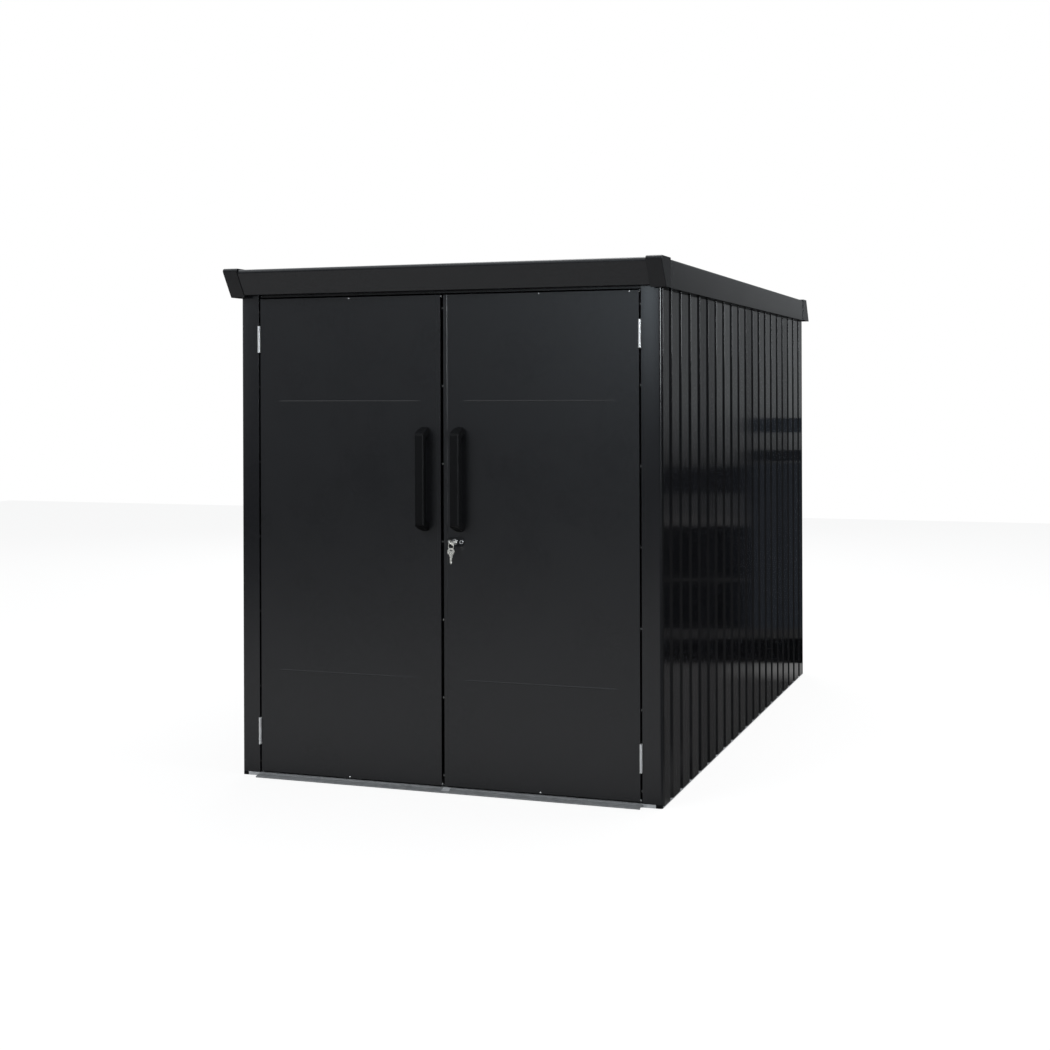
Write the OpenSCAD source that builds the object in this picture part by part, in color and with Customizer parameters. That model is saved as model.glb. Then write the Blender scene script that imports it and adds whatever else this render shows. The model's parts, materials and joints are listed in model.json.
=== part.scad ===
// Steel bike shed: ribbed walls, two hinged door leaves and a trimmed low-fall roof.
// Millimetres. The doors face -Y, +Z is up, and the origin is on the ground at the middle of the box.

/* [Shed] */
// Width across the walls
shed_w = 1250; // [1000:10:1800]
// Depth from the face of the front posts to the back wall
shed_d = 2190; // [1400:10:2800]
// Height from the ground to the top edge of the roof trim
trim_top = 1456; // [1200:2:2000]

/* [Base] */
// Height of the front rail and of the corner feet
foot_h = 9.5; // [8:0.5:16]
// Width of a front foot
foot_w = 18; // [12:1:30]
// Thickness of the base angles under the walls
base_t = 3; // [2:0.5:5]
// Height of the base angles inside the walls
base_h = 40; // [25:1:60]
// Depth of the front rail
front_rail_d = 40; // [30:1:60]
// How far the door sill stands out in front of the posts
sill_out = 26; // [18:1:40]

/* [Posts and rails] */
// Thickness of the folded posts, rails and trims
fold_t = 1.2; // [0.8:0.1:2]
// Width of a front post's face
post_w = 54.5; // [40:0.5:90]
// Width of a back post's face
back_post_w = 40; // [30:1:70]
// Radius of the posts' outer edge
post_r = 6; // [3:0.5:8]
// Depth of a front post's jamb, to the door stop
jamb_d = 28; // [26:1:50]
// Width of the door stop
stop_w = 13; // [8:1:20]
// Drop of the top rails inside the walls
top_rail_drop = 60; // [45:1:90]

/* [Walls] */
// Thickness of the ribbed sheets
sheet_t = 1; // [0.6:0.1:1.5]
// Depth of the grooves
rib_depth = 9; // [5:0.5:14]
// Width of a groove at the outer face
groove_w = 34; // [24:1:44]
// Slope of a groove's sides, measured across the wall
rib_slope = 4; // [2:0.5:8]
// Spacing of the grooves, which is adjusted to fill the wall
rib_pitch = 112; // [80:1:160]
// Middle of the first groove from the corner
first_groove = 98; // [60:1:110]

/* [Roof] */
// Height of the front and back trims
trim_h = 70; // [55:1:90]
// Height of the side trims and of the corner caps
side_trim_h = 77; // [62:1:100]
// How far the front trim's top stands out
lean_top = 73.5; // [50:0.5:90]
// How far the front trim's bottom stands out
lean_bottom = 26; // [10:0.5:40]
// How far the side trims stand out
side_out = 19; // [12:0.5:30]
// Width of the trims' top lips
lip_w = 45; // [30:1:60]
// Radius of the trims' top fold
fold_r = 5; // [3:0.5:8]
// Thickness of the corner caps
cap_t = 2.4; // [1.6:0.1:4]
// Rise of the corner caps over the trims
cap_rise = 3.5; // [2:0.5:6]
// Length of a corner cap's front leg
cap_leg = 44; // [30:1:70]
// Fall of the roof deck to the back, in degrees
roof_fall = 0.6; // [0.3:0.1:0.8]
// Height of the roof deck's ribs
deck_rib_h = 10; // [6:1:12]
// Spacing of the roof deck's ribs, adjusted to fill the roof
deck_pitch = 150; // [100:5:220]
// Number of cross beams
beam_count = 3; // [2:1:5]
// Height of a cross beam
beam_h = 35; // [30:1:45]
// Width of a cross beam
beam_w = 30; // [20:1:50]

/* [Doors] */
// Gap between a leaf and its jamb
jamb_gap = 6; // [6:0.5:10]
// Gap between the two leaves
leaf_gap = 9; // [6:0.5:14]
// Gap over and under the leaves
end_gap = 5; // [5:0.5:12]
// Thickness of a door leaf
leaf_t = 22; // [16:0.5:23]
// Width of the hem along a leaf's meeting edge
hem_w = 11; // [8:0.5:20]
// Height of the lower pressed line
low_line_z = 309; // [150:1:500]
// Height of the upper pressed line
high_line_z = 1080; // [900:1:1180]
// Distance of the pressed lines from the leaf's edges
line_inset = 59; // [40:1:90]
// Width of a pressed line
line_w = 4; // [3:0.5:8]

/* [Hinges] */
// Height of a hinge
hinge_h = 76; // [50:1:110]
// Knuckle diameter
knuckle_d = 6; // [5.5:0.5:10]
// Pin diameter
pin_d = 3; // [2.5:0.5:4]
// Distance of the hinge axis in front of the doors
hinge_out = 5.5; // [5:0.5:8]
// Distance of a hinge's middle from the leaf's end
hinge_in = 115.5; // [80:0.5:250]
// Depth of a hinge leaf in the gap
hinge_leaf_d = 18; // [10:1:20]
// Knuckles on a hinge
knuckles = 5; // [3:2:7]

/* [Handles] */
// Height of a handle at the door
handle_h = 290; // [200:1:400]
// Gap between the handle's foot and the lock plate
handle_gap = 13; // [8:1:40]
// How far a handle stands out
handle_out = 45; // [35:1:60]
// Width of a handle
handle_w = 26.5; // [20:0.5:40]
// Thickness of the grip
grip_t = 20; // [12:1:22]
// Slope of a handle's ends
handle_slope = 18; // [8:1:30]
// Distance of a handle's middle from the leaf's edge
handle_in = 47.5; // [35:0.5:80]

/* [Lock] */
// Height of the lock above the ground
lock_z = 691; // [500:1:750]
// Gap between the lock plate and the hem
lock_gap = 0.5; // [0.5:0.5:20]
// Length of the oval lock plate
plate_w = 48; // [42:1:70]
// Height of the oval lock plate
plate_h = 28; // [22:1:40]
// Thickness of the lock plate
plate_t = 3; // [2:0.5:5]
// Barrel diameter
barrel_d = 15; // [12:0.5:18]
// How far the barrel stands out
barrel_out = 9; // [6:1:14]
// Length of the lock's inner cam
cam_l = 42; // [30:1:60]
// Diameter of a key's bow
bow_d = 20; // [17:0.5:26]
// Thickness of a key
key_t = 2; // [1.6:0.1:3]
// Length of the spare key's blade
blade_l = 24; // [18:1:32]
// Outer diameter of the key ring
ring_d = 20; // [18:1:32]
// Wire diameter of the key ring
ring_wire = 1.6; // [1.2:0.1:2.4]

/* [Hidden] */

// Colours of the finishes
black_paint = [0.17, 0.175, 0.18];
black_plastic = [0.12, 0.125, 0.135];
zinc = [0.66, 0.67, 0.68];
chrome = [0.8, 0.8, 0.8];

// Walls, seen in plan
half_w = shed_w / 2;
seam = post_r + fold_t + 0.8;    // depth of a post's side, where the wall sheet starts
seam_lip = 8;                    // lip of a wall sheet behind its seam
seam_w = 8;                      // bottom of the open groove beside the seam
return_d = rib_depth + 16;       // length of a post's return, which carries the seam
wall_in = rib_depth + sheet_t;   // inner face of the grooves
rail_in = wall_in + fold_t;      // inner face of the top rails

base_angle = [[0, 0], [0, base_t], [-wall_in, base_t], [-wall_in, base_h],
              [-wall_in - base_t, base_h], [-wall_in - base_t, 0]];

// Heights of the roof
touch = 0.2;                     // running gap under the sloping deck
deck_front = 20;                 // reach of the deck under the front trim
lip_clear = 5;                   // gap between the deck's ribs and the trims' lips
deck_slope = tan(roof_fall);
front_bottom = trim_top - trim_h;
side_bottom = trim_top - side_trim_h;
deck_fall = (shed_d + deck_front) * deck_slope;
rail_top = trim_top - fold_t - lip_clear - deck_rib_h - sheet_t - deck_fall - touch;
wall_top = rail_top - fold_t;
head_d = 22;                     // depth of the head rail
head_in = rib_depth + seam_lip;  // ends of the head rail, between the seam lips of the walls
head_top = rail_top + (shed_d - seam - head_d) * deck_slope;
top_channel = [[fold_t, side_bottom], [fold_t, rail_top], [-rail_in, rail_top],
               [-rail_in, rail_top - top_rail_drop]];

// Leaning roof trims and their caps, seen from the side
lean_slope = (lean_top - lean_bottom) / trim_h;
back_lip = lean_bottom - trim_h * lean_slope - lip_w;
cap_top = trim_top + cap_rise;
cap_side = 17;                   // cover of a cap over the side trim
cap_x = half_w + side_out + cap_t;
// Outer face of a leaning trim at height z, seen from the post or wall face and grown outwards
function lean_out(z, grow) = (z - front_bottom) * lean_slope + grow * norm([1, lean_slope]);
function front_lean(z, grow) = -lean_bottom - lean_out(z, grow);
function back_lean(z, grow) = lean_bottom - lean_out(z, -grow);
function cap_outline(end, low, high, r) =
    concat([[end, side_bottom], low], round_fold(low, high, [end, high[1]], r), [[end, high[1]]]);
cap_nose = cap_outline(0, [front_lean(side_bottom, cap_t), side_bottom],
                       [front_lean(cap_top, cap_t), cap_top], fold_r + cap_t);
cap_reach = -min([for (p = cap_nose) p[0]]);
back_reach = back_lean(side_bottom, cap_t);
front_y = (cap_reach - shed_d - back_reach) / 2;
deck_gap = 1;                    // gap between the deck and the side and back trims
deck_back = deck_gap - back_lean(rail_top + touch + sheet_t + deck_rib_h, -fold_t);
deck_x = half_w + side_out - fold_t - deck_gap;
deck_ribs = round(2 * deck_x / deck_pitch);
deck_rib_w = 40;                 // width of a deck rib at its foot
deck_rib_top = 22;               // width of a deck rib at its top

// Doors
leaf_x0 = leaf_gap / 2;
leaf_x1 = half_w - post_w - jamb_gap;
leaf_z0 = foot_h + end_gap;
leaf_z1 = side_bottom - end_gap;
line_h = 1;                      // height of a pressed line
line_taper = 12;                 // run-out of a pressed line at its ends
line_end = 0.25;                 // what is left of it there
hem_t = 0.6;                     // height of the hem
liner_d = 15;                    // depth of the liner's edges
handle_z = lock_z + plate_h / 2 + handle_gap + handle_h / 2;
leg_t = 22;                      // height of a handle's leg at the door
leg_spread = 8;                  // how much a leg grows towards the grip
leg_r = 12;                      // bend of the grip into its legs
finger_r = 8;                    // the same on the finger side
grip_r = 6;                      // rounding along the grip
end_r = 9;                       // rounding of a handle's four corners, seen from the front
hinge_x = half_w - post_w - jamb_gap / 2;
hinge_t = 1.8;                   // thickness of a hinge leaf
knuckle_gap = 0.4;               // gap between two knuckles
pin_play = 0.05;                 // radial play of a hinge pin
knuckle_h = (hinge_h - (knuckles - 1) * knuckle_gap) / knuckles;
lock_x = leaf_x0 + hem_w + lock_gap + plate_w / 2;
barrel_play = 0.15;              // radial play of the lock barrel in the door
cam_y = leaf_t + 1;              // front of the door to the cam
cam_t = 2.5;                     // thickness of the cam
stem_d = 8;                      // stem of the barrel, which carries the cam
stem_over = 1;                   // end of the stem past the cam
neck_l = 14;                     // neck of the inserted key, from the barrel to its bow
neck_w = 6.4;                    // width of a key's neck and blade
shoulder_w = 9;                  // width of a key's shoulder
shoulder_l = 3;                  // length of a key's shoulder
tip_l = 3;                       // length of a blade's tip
cuts = [1.5, 0.8, 1.8, 1.1];     // depths of the cuts in the spare key's blade
bow_y = -(barrel_out + neck_l + bow_d / 2);
bow_hole = 6;                    // hole in a key's bow
hole_up = 4;                     // hole from the middle of the bow
key_turn = 40;                   // turn of the inserted key from upright
ring_turn = -20;                 // turn of the ring from the doors' plane
spare_turn = 35;                 // turn of the spare key from the doors' plane
ring_r = (ring_d - ring_wire) / 2;
hang = (bow_hole - ring_wire) / 2 - 0.5;  // drop of the spare key until its hole rests on the ring

// Geometry of folded sheets: a path of fold points, and the section of a sheet folded along it
function unit(v) = v / norm(v);
function left_of(v) = [-v[1], v[0]];
function side_at(p, i) = left_of(unit(p[i + 1] - p[i]));
function fold_point(p, i, t) =
    let (a = side_at(p, max(i - 1, 0)), b = side_at(p, min(i, len(p) - 2)))
    p[i] + t * (a + b) / (1 + a * b);
function folded(p, t) = concat(p, [for (i = [len(p) - 1:-1:0]) fold_point(p, i, t)]);
function arc(centre, r, from, turn, n) =
    [for (i = [0:n]) centre + r * [cos(from + turn * i / n), sin(from + turn * i / n)]];
function round_fold(a, b, c, r, n = 4) =
    let (u = unit(a - b), v = unit(c - b), half = acos(u * v) / 2,
         centre = b + unit(u + v) * r / sin(half),
         p = b + u * r / tan(half) - centre, q = b + v * r / tan(half) - centre,
         from = atan2(p[1], p[0]), to = atan2(q[1], q[0]))
    arc(centre, r, from, (to - from + 540) % 360 - 180, n);
// Ribbed wall along its length: crowns at 0, grooves at -rib_depth, an open groove and a lip at each end
function groove(c) = [[c - groove_w / 2, 0], [c - groove_w / 2 + rib_slope, -rib_depth],
                      [c + groove_w / 2 - rib_slope, -rib_depth], [c + groove_w / 2, 0]];
function ribbed(length, end) =
    let (n = round((length - 2 * first_groove) / rib_pitch), pitch = (length - 2 * first_groove) / n)
    concat([[end, -rib_depth - seam_lip], [end, -rib_depth],
            [end + seam_w, -rib_depth], [end + seam_w + rib_slope, 0]],
           [for (i = [0:n]) each groove(first_groove + i * pitch)],
           [[length - end - seam_w - rib_slope, 0], [length - end - seam_w, -rib_depth],
            [length - end, -rib_depth], [length - end, -rib_depth - seam_lip]]);

// Placing: profiles are drawn in plan or in section and run along an axis
module from_front() translate([0, front_y, 0]) children();
module along_x(x0, x1) translate([x0, 0, 0]) rotate([90, 0, 90]) linear_extrude(x1 - x0) children();
module along_y(y0, y1) translate([0, y1, 0]) rotate([90, 0, 0]) linear_extrude(y1 - y0) children();
module along_z(z0, z1) translate([0, 0, z0]) linear_extrude(z1 - z0) children();
module on_side(s) mirror([s < 0 ? 1 : 0, 0, 0]) children();
module block(x, y, z) translate([x[0], y[0], z[0]]) cube([x[1] - x[0], y[1] - y[0], z[1] - z[0]]);

// Front rail: a channel under the posts and the door opening
module base_rail_front() color(zinc) from_front() along_x(foot_w - half_w, half_w - foot_w)
    polygon(folded([[0, 0], [0, foot_h], [front_rail_d, foot_h], [front_rail_d, 0]], -base_t / 2));

// Base angles: the wall sheet stands on the flange, and the upright is inside the wall
module base_rail_side(s) color(zinc) from_front() on_side(s) translate([half_w, 0, 0])
    along_y(seam + sheet_t, shed_d - seam - sheet_t) polygon(base_angle);
module base_rail_back() color(zinc) from_front() translate([0, shed_d, 0])
    along_x(back_post_w + sheet_t - half_w, half_w - back_post_w - sheet_t) polygon(base_angle);

// Door sill: a ramp, a groove and a ridge in front of the front rail
module door_sill() color(zinc) from_front() along_x(post_w - half_w, half_w - post_w)
    polygon(folded([[-sill_out, 0], [-sill_out, 3.2], [-10, foot_h - 2.3], [-8.4, foot_h - 5.3],
                    [-5.2, foot_h - 5.3], [-4.2, foot_h], [0, foot_h], [0, 0]], -fold_t));

// Corner feet: plastic blocks under the posts, with the posts' round edge
module foot(w) along_z(0, foot_h)
    polygon(concat([[-w, seam], [0, seam]], arc([-post_r, post_r], post_r, 0, -90, 6), [[-w, 0]]));
module corner_feet() color(black_plastic) from_front() for (s = [-1, 1]) on_side(s) {
    translate([half_w, 0, 0]) foot(foot_w);
    translate([half_w, shed_d, 0]) mirror([0, 1, 0]) foot(back_post_w);
}

// Posts: one folded sheet round the corner, with a return for the wall's seam
function post_corner(w) = concat([[-return_d, seam], [0, seam]],
                                 arc([-post_r, post_r], post_r, 0, -90, 6), [[-w, 0]]);
module front_post(s) color(black_paint) from_front() on_side(s) translate([half_w, 0, 0])
    along_z(foot_h, front_bottom) {
    stop = [[-post_w, jamb_d], [-post_w - stop_w, jamb_d]];
    polygon(folded(concat(post_corner(post_w), stop), -fold_t));
}
module back_post(s) color(black_paint) from_front() on_side(s)
    translate([half_w, shed_d, 0]) mirror([0, 1, 0]) along_z(foot_h, wall_top) {
    flange = [[-back_post_w, rib_depth + seam_lip]];
    polygon(folded(concat(post_corner(back_post_w), flange), -fold_t));
}

// Ribbed walls, from post to post
module wall_side(s) color(black_paint) from_front() on_side(s) translate([half_w, 0, 0])
    along_z(base_t, wall_top) mirror([1, -1]) polygon(folded(ribbed(shed_d, seam), -sheet_t));
module wall_back() color(black_paint) from_front() translate([-half_w, shed_d, 0])
    along_z(base_t, wall_top) polygon(folded(ribbed(shed_w, back_post_w), -sheet_t));

// Head rail over the doors, with a strip down to the doors' top
module head_rail() color(black_paint) from_front() {
    along_x(head_in - half_w, half_w - head_in)
        polygon(folded([[seam + head_d, front_bottom], [seam, front_bottom], [seam, head_top],
                        [seam + head_d, head_top]], -fold_t));
    along_x(post_w - half_w, half_w - post_w)
        polygon(folded([[jamb_d, side_bottom], [seam, side_bottom], [seam, front_bottom]], -fold_t));
}

// Top rails: a channel over the edge of each wall
module top_rail_side(s) color(black_paint) from_front() on_side(s) translate([half_w, 0, 0])
    along_y(seam + sheet_t, shed_d - seam - sheet_t) polygon(folded(top_channel, fold_t));
module top_rail_back() color(black_paint) from_front() translate([0, shed_d, 0])
    along_x(back_post_w + sheet_t - half_w, half_w - back_post_w - sheet_t)
        polygon(folded(top_channel, fold_t));

// Roof: cross beams between the side rails and a ribbed deck, both in the sloping plane
module roof_plane() from_front() translate([0, shed_d, rail_top + touch]) rotate([-roof_fall, 0, 0])
    children();
module roof_beams() color(zinc) roof_plane() for (i = [1:beam_count])
    translate([0, -shed_d * i / (beam_count + 1), 0]) along_x(rail_in - half_w, half_w - rail_in)
        polygon(folded([[-beam_w / 2, -beam_h], [-beam_w / 2, 0], [beam_w / 2, 0], [beam_w / 2, -beam_h]],
                       -fold_t));
function deck_rib(c) = [[c - deck_rib_w / 2, 0], [c - deck_rib_top / 2, deck_rib_h],
                        [c + deck_rib_top / 2, deck_rib_h], [c + deck_rib_w / 2, 0]];
module roof_deck() color(black_paint) roof_plane() along_y(-shed_d - deck_front, -deck_back)
    polygon(folded(concat([[-deck_x, 0]],
                          [for (i = [1:deck_ribs]) each deck_rib(deck_x * ((2 * i - 1) / deck_ribs - 1))],
                          [[deck_x, 0]]), sheet_t));

// Roof trims: the front and the back lean the same way, the sides are upright
module trim_front() color(black_paint) from_front() along_x(-half_w - side_out, half_w + side_out) {
    bottom = [-lean_bottom, front_bottom];
    top = [-lean_top, trim_top];
    lip = [seam, trim_top];
    edge = round_fold(bottom, top, lip, fold_r);
    polygon(folded(concat([[seam, front_bottom], bottom], edge, [lip]), -fold_t));
}
module trim_back() color(black_paint) from_front() translate([0, shed_d, 0])
    along_x(-half_w - side_out, half_w + side_out) {
    bottom = [lean_bottom, front_bottom];
    top = [lean_bottom - trim_h * lean_slope, trim_top];
    lip = [back_lip, trim_top];
    edge = round_fold(bottom, top, lip, fold_r);
    polygon(folded(concat([bottom], edge, [lip]), fold_t));
}

module trim_side(s) color(black_paint) from_front() on_side(s) translate([half_w, 0, 0])
    along_y(seam, shed_d + back_lip) {
    bottom = [side_out, side_bottom];
    top = [side_out, trim_top];
    lip = [side_out - lip_w, trim_top];
    edge = round_fold(bottom, top, lip, fold_r);
    polygon(folded(concat([[fold_t, side_bottom], bottom], edge, [lip]), fold_t));
}

// Corner caps: shells over the ends of the trims, open inwards and down
module cap_shell(s, end, over, low, high, low_in, high_in) on_side(s) difference() {
    along_x(cap_x - cap_leg, cap_x) polygon(cap_outline(end, low, high, fold_r + cap_t));
    along_x(cap_x - cap_leg - 1, cap_x - cap_t)
        polygon(concat([[end + over, side_bottom - 1], low_in],
                       round_fold(low_in, high_in, [end, trim_top], fold_r), [[end + over, trim_top]]));
}
module cap_front(s) color(black_plastic) from_front() cap_shell(s, seam + cap_side, 1,
    [front_lean(side_bottom, cap_t), side_bottom], [front_lean(cap_top, cap_t), cap_top],
    [front_lean(side_bottom - 1, 0), side_bottom - 1], [front_lean(trim_top, 0), trim_top]);
module cap_back(s) color(black_plastic) from_front() translate([0, shed_d, 0])
    cap_shell(s, back_lip - cap_side, -1,
    [back_lean(side_bottom, cap_t), side_bottom], [back_lean(cap_top, cap_t), cap_top],
    [back_lean(side_bottom - 1, 0), side_bottom - 1], [back_lean(trim_top, 0), trim_top]);

// Hinges: leaves in the jamb gap, knuckles in front of the doors, the pin is fast in the frame's knuckles
module knuckle(z) translate([hinge_x, -hinge_out, z]) cylinder(d = knuckle_d, h = knuckle_h, $fn = 32);
module hinge_leaf(side) {
    x = side > 0 ? [hinge_x + jamb_gap / 2 - hinge_t, hinge_x + jamb_gap / 2]
                 : [hinge_x - jamb_gap / 2, hinge_x - jamb_gap / 2 + hinge_t];
    block(x, [0, hinge_leaf_d], [0, hinge_h]);
    for (i = [side > 0 ? 1 : 0:2:knuckles - 1]) {
        z = i * (knuckle_h + knuckle_gap);
        block(x, [-hinge_out, 0.01], [z, z + knuckle_h]);
        knuckle(z);
    }
}
module pin(d, over) translate([hinge_x, -hinge_out, -over])
    cylinder(d = d, h = hinge_h + 2 * over, $fn = 32);
module at_hinges(s) from_front() on_side(s) for (z = [leaf_z0 + hinge_in, leaf_z1 - hinge_in])
    translate([0, 0, z - hinge_h / 2]) children();
module frame_hinges(s) color(zinc) at_hinges(s) union() {
    hinge_leaf(1);
    pin(pin_d, 0);
}
module door_hinges(s) color(zinc) at_hinges(s) difference() {
    hinge_leaf(-1);
    pin(pin_d + 2 * pin_play, 1);
}

// Door leaves: an outer skin folded back on four sides, and a liner inside its edges
module within_leaf(inset, y)
    block([leaf_x0 + inset, leaf_x1 - inset], y, [leaf_z0 + inset, leaf_z1 - inset]);
module barrel_hole(r) translate([lock_x, -barrel_out, lock_z]) rotate([-90, 0, 0])
    cylinder(r = r, h = barrel_out + leaf_t + 1, $fn = 48);
module line_section() polygon([for (i = [0:6]) [-line_h * sin(30 * i), -line_w / 2 * cos(30 * i)]]);
module line_end() rotate([90, 0, 90]) linear_extrude(line_taper, scale = line_end) line_section();
module pressed_line(z) translate([0, 0, z]) {
    x = [leaf_x0 + line_inset + line_taper, leaf_x1 - line_inset - line_taper];
    along_x(x[0], x[1]) line_section();
    translate([x[0], 0, 0]) mirror([1, 0, 0]) line_end();
    translate([x[1], 0, 0]) line_end();
}
module hem() along_z(leaf_z0, leaf_z1)
    polygon([[leaf_x0, 0], [leaf_x0, -hem_t], [leaf_x0 + hem_w - hem_t, -hem_t], [leaf_x0 + hem_w, 0]]);
module door_skin(s) color(black_paint) from_front() on_side(s) difference() {
    union() {
        within_leaf(0, [0, leaf_t]);
        hem();
        pressed_line(low_line_z);
        pressed_line(high_line_z);
    }
    within_leaf(sheet_t, [sheet_t, leaf_t + 1]);
    if (s > 0) barrel_hole(barrel_d / 2 + barrel_play);
}
module door_liner(s) color(black_paint) from_front() on_side(s) difference() {
    within_leaf(sheet_t, [leaf_t - liner_d, leaf_t]);
    within_leaf(2 * sheet_t, [leaf_t - liner_d - 1, leaf_t - sheet_t]);
    if (s > 0) barrel_hole(barrel_d / 2 + barrel_play);
}

// Pull handle: a bar on two legs, slanted at its ends and rounded along its front
module door_handle(s) color(black_plastic) from_front() on_side(s)
    translate([leaf_x0 + handle_in, 0, handle_z]) intersection() {
        h = handle_h / 2;
        inner = handle_out - grip_t;
        finger_h = h - leg_t;
        along_x(-handle_w / 2, handle_w / 2) difference() {
            polygon(concat([[0, -h]],
                           round_fold([0, -h], [-handle_out, handle_slope - h], [-handle_out, 0], leg_r),
                           round_fold([-handle_out, 0], [-handle_out, h - handle_slope], [0, h], leg_r),
                           [[0, h]]));
            polygon(concat([[1, -finger_h]],
                           round_fold([1, -finger_h], [-inner, leg_spread - finger_h], [-inner, 0], finger_r),
                           round_fold([-inner, 0], [-inner, finger_h - leg_spread], [1, finger_h], finger_r),
                           [[1, finger_h]]));
        }
        along_y(-handle_out, 0) polygon([for (c = [[1, 1], [-1, 1], [-1, -1], [1, -1]])
            let (w = c[0] * handle_w / 2, z = c[1] * h, side_first = c[0] * c[1] > 0)
            each round_fold(side_first ? [w, 0] : [0, z], [w, z], side_first ? [0, z] : [w, 0], end_r)]);
        along_z(-h, h) polygon(concat([[-handle_w / 2, 0]],
            round_fold([-handle_w / 2, 0], [-handle_w / 2, -handle_out], [0, -handle_out], grip_r, 5),
            round_fold([0, -handle_out], [handle_w / 2, -handle_out], [handle_w / 2, 0], grip_r, 5),
            [[handle_w / 2, 0]]));
    }

// Lock of the right leaf: oval plate, barrel through the leaf, cam inside
module lock_plate() color(black_plastic) from_front() difference() {
    union() {
        for (x = [-1, 1]) translate([lock_x + x * (plate_w - plate_h) / 2, -plate_t, lock_z])
            rotate([-90, 0, 0]) cylinder(d = plate_h, h = plate_t, $fn = 64);
        block([lock_x - plate_w / 2 + plate_h / 2, lock_x + plate_w / 2 - plate_h / 2], [-plate_t, 0],
              [lock_z - plate_h / 2, lock_z + plate_h / 2]);
    }
    barrel_hole(barrel_d / 2 + barrel_play);
}
module lock_barrel() color(chrome) from_front() translate([lock_x, -barrel_out, lock_z])
    rotate([-90, 0, 0]) {
    cylinder(d = barrel_d, h = barrel_out + cam_y, $fn = 48);
    cylinder(d = stem_d, h = barrel_out + cam_y + cam_t + stem_over, $fn = 32);
}
module lock_cam() color(zinc) from_front() translate([lock_x, cam_y, lock_z])
    rotate([90, 0, 0]) mirror([0, 0, 1]) linear_extrude(cam_t) difference() {
        union() {
            for (y = [0, 2 * stem_d - cam_l]) translate([0, y]) circle(d = stem_d * 2, $fn = 48);
            translate([-stem_d, 2 * stem_d - cam_l]) square([stem_d * 2, cam_l - 2 * stem_d]);
        }
        circle(r = stem_d / 2 + barrel_play, $fn = 32);
    }

// Keys on a ring: one in the barrel, the spare hangs from the ring
module flat_key(blade) translate([0, 0, -key_t / 2]) linear_extrude(key_t) difference() {
    union() {
        circle(d = bow_d, $fn = 48);
        translate([-shoulder_w / 2, 0]) square([shoulder_w, bow_d / 2 + shoulder_l]);
        polygon(blade);
    }
    translate([0, -hole_up]) circle(d = bow_hole, $fn = 32);
}
// Outlines of a key's neck and of a cut blade, from inside the shoulder
function neck(l) = let (w = neck_w / 2, start = bow_d / 2, end = start + l)
    [[w, start], [w, end], [-w, end], [-w, start]];
function cut_blade(l) =
    let (w = neck_w / 2, start = bow_d / 2, end = start + l,
         pitch = (l - shoulder_l - tip_l) / len(cuts))
    concat([[w, start]],
           [for (i = [0:len(cuts) - 1]) let (y = start + shoulder_l + pitch * (i + 0.5), d = cuts[i])
               each [[w, y - d], [w - d, y], [w, y + d]]],
           [[w, end - tip_l], [0, end], [-w, end - tip_l], [-w, start]]);
module door_key() color(chrome) from_front() translate([lock_x, bow_y, lock_z])
    rotate([0, 90 - key_turn, 0]) flat_key(neck(neck_l));
module key_ring() color(chrome) from_front() translate([lock_x, bow_y - hole_up, lock_z - ring_r])
    rotate([90, 0, ring_turn]) rotate_extrude($fn = 48)
        translate([ring_r, 0]) circle(d = ring_wire, $fn = 16);
module spare_key() color(chrome) from_front()
    translate([lock_x, bow_y - hole_up, lock_z - 2 * ring_r - hole_up - hang]) rotate([-90, 0, spare_turn])
        flat_key(cut_blade(blade_l));

base_rail_front();
base_rail_side(-1);  // base_rail_left
base_rail_side(1);  // base_rail_right
base_rail_back();
door_sill();
corner_feet();
front_post(-1);  // front_post_left
front_post(1);  // front_post_right
back_post(-1);  // back_post_left
back_post(1);  // back_post_right
wall_side(-1);  // wall_left
wall_side(1);  // wall_right
wall_back();
head_rail();
top_rail_side(-1);  // top_rail_left
top_rail_side(1);  // top_rail_right
top_rail_back();
roof_beams();
roof_deck();
trim_front();
trim_side(-1);  // trim_left
trim_side(1);  // trim_right
trim_back();
cap_front(-1);  // corner_cap_front_left
cap_front(1);  // corner_cap_front_right
cap_back(-1);  // corner_cap_back_left
cap_back(1);  // corner_cap_back_right
frame_hinges(-1);  // frame_hinges_left
frame_hinges(1);  // frame_hinges_right
door_skin(-1);  // left_door_skin
door_liner(-1);  // left_door_liner
door_hinges(-1);  // left_door_hinges
door_handle(-1);  // left_door_handle
door_skin(1);  // right_door_skin
door_liner(1);  // right_door_liner
door_hinges(1);  // right_door_hinges
door_handle(1);  // right_door_handle
lock_plate();
lock_barrel();
lock_cam();
door_key();
key_ring();
spare_key();
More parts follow.
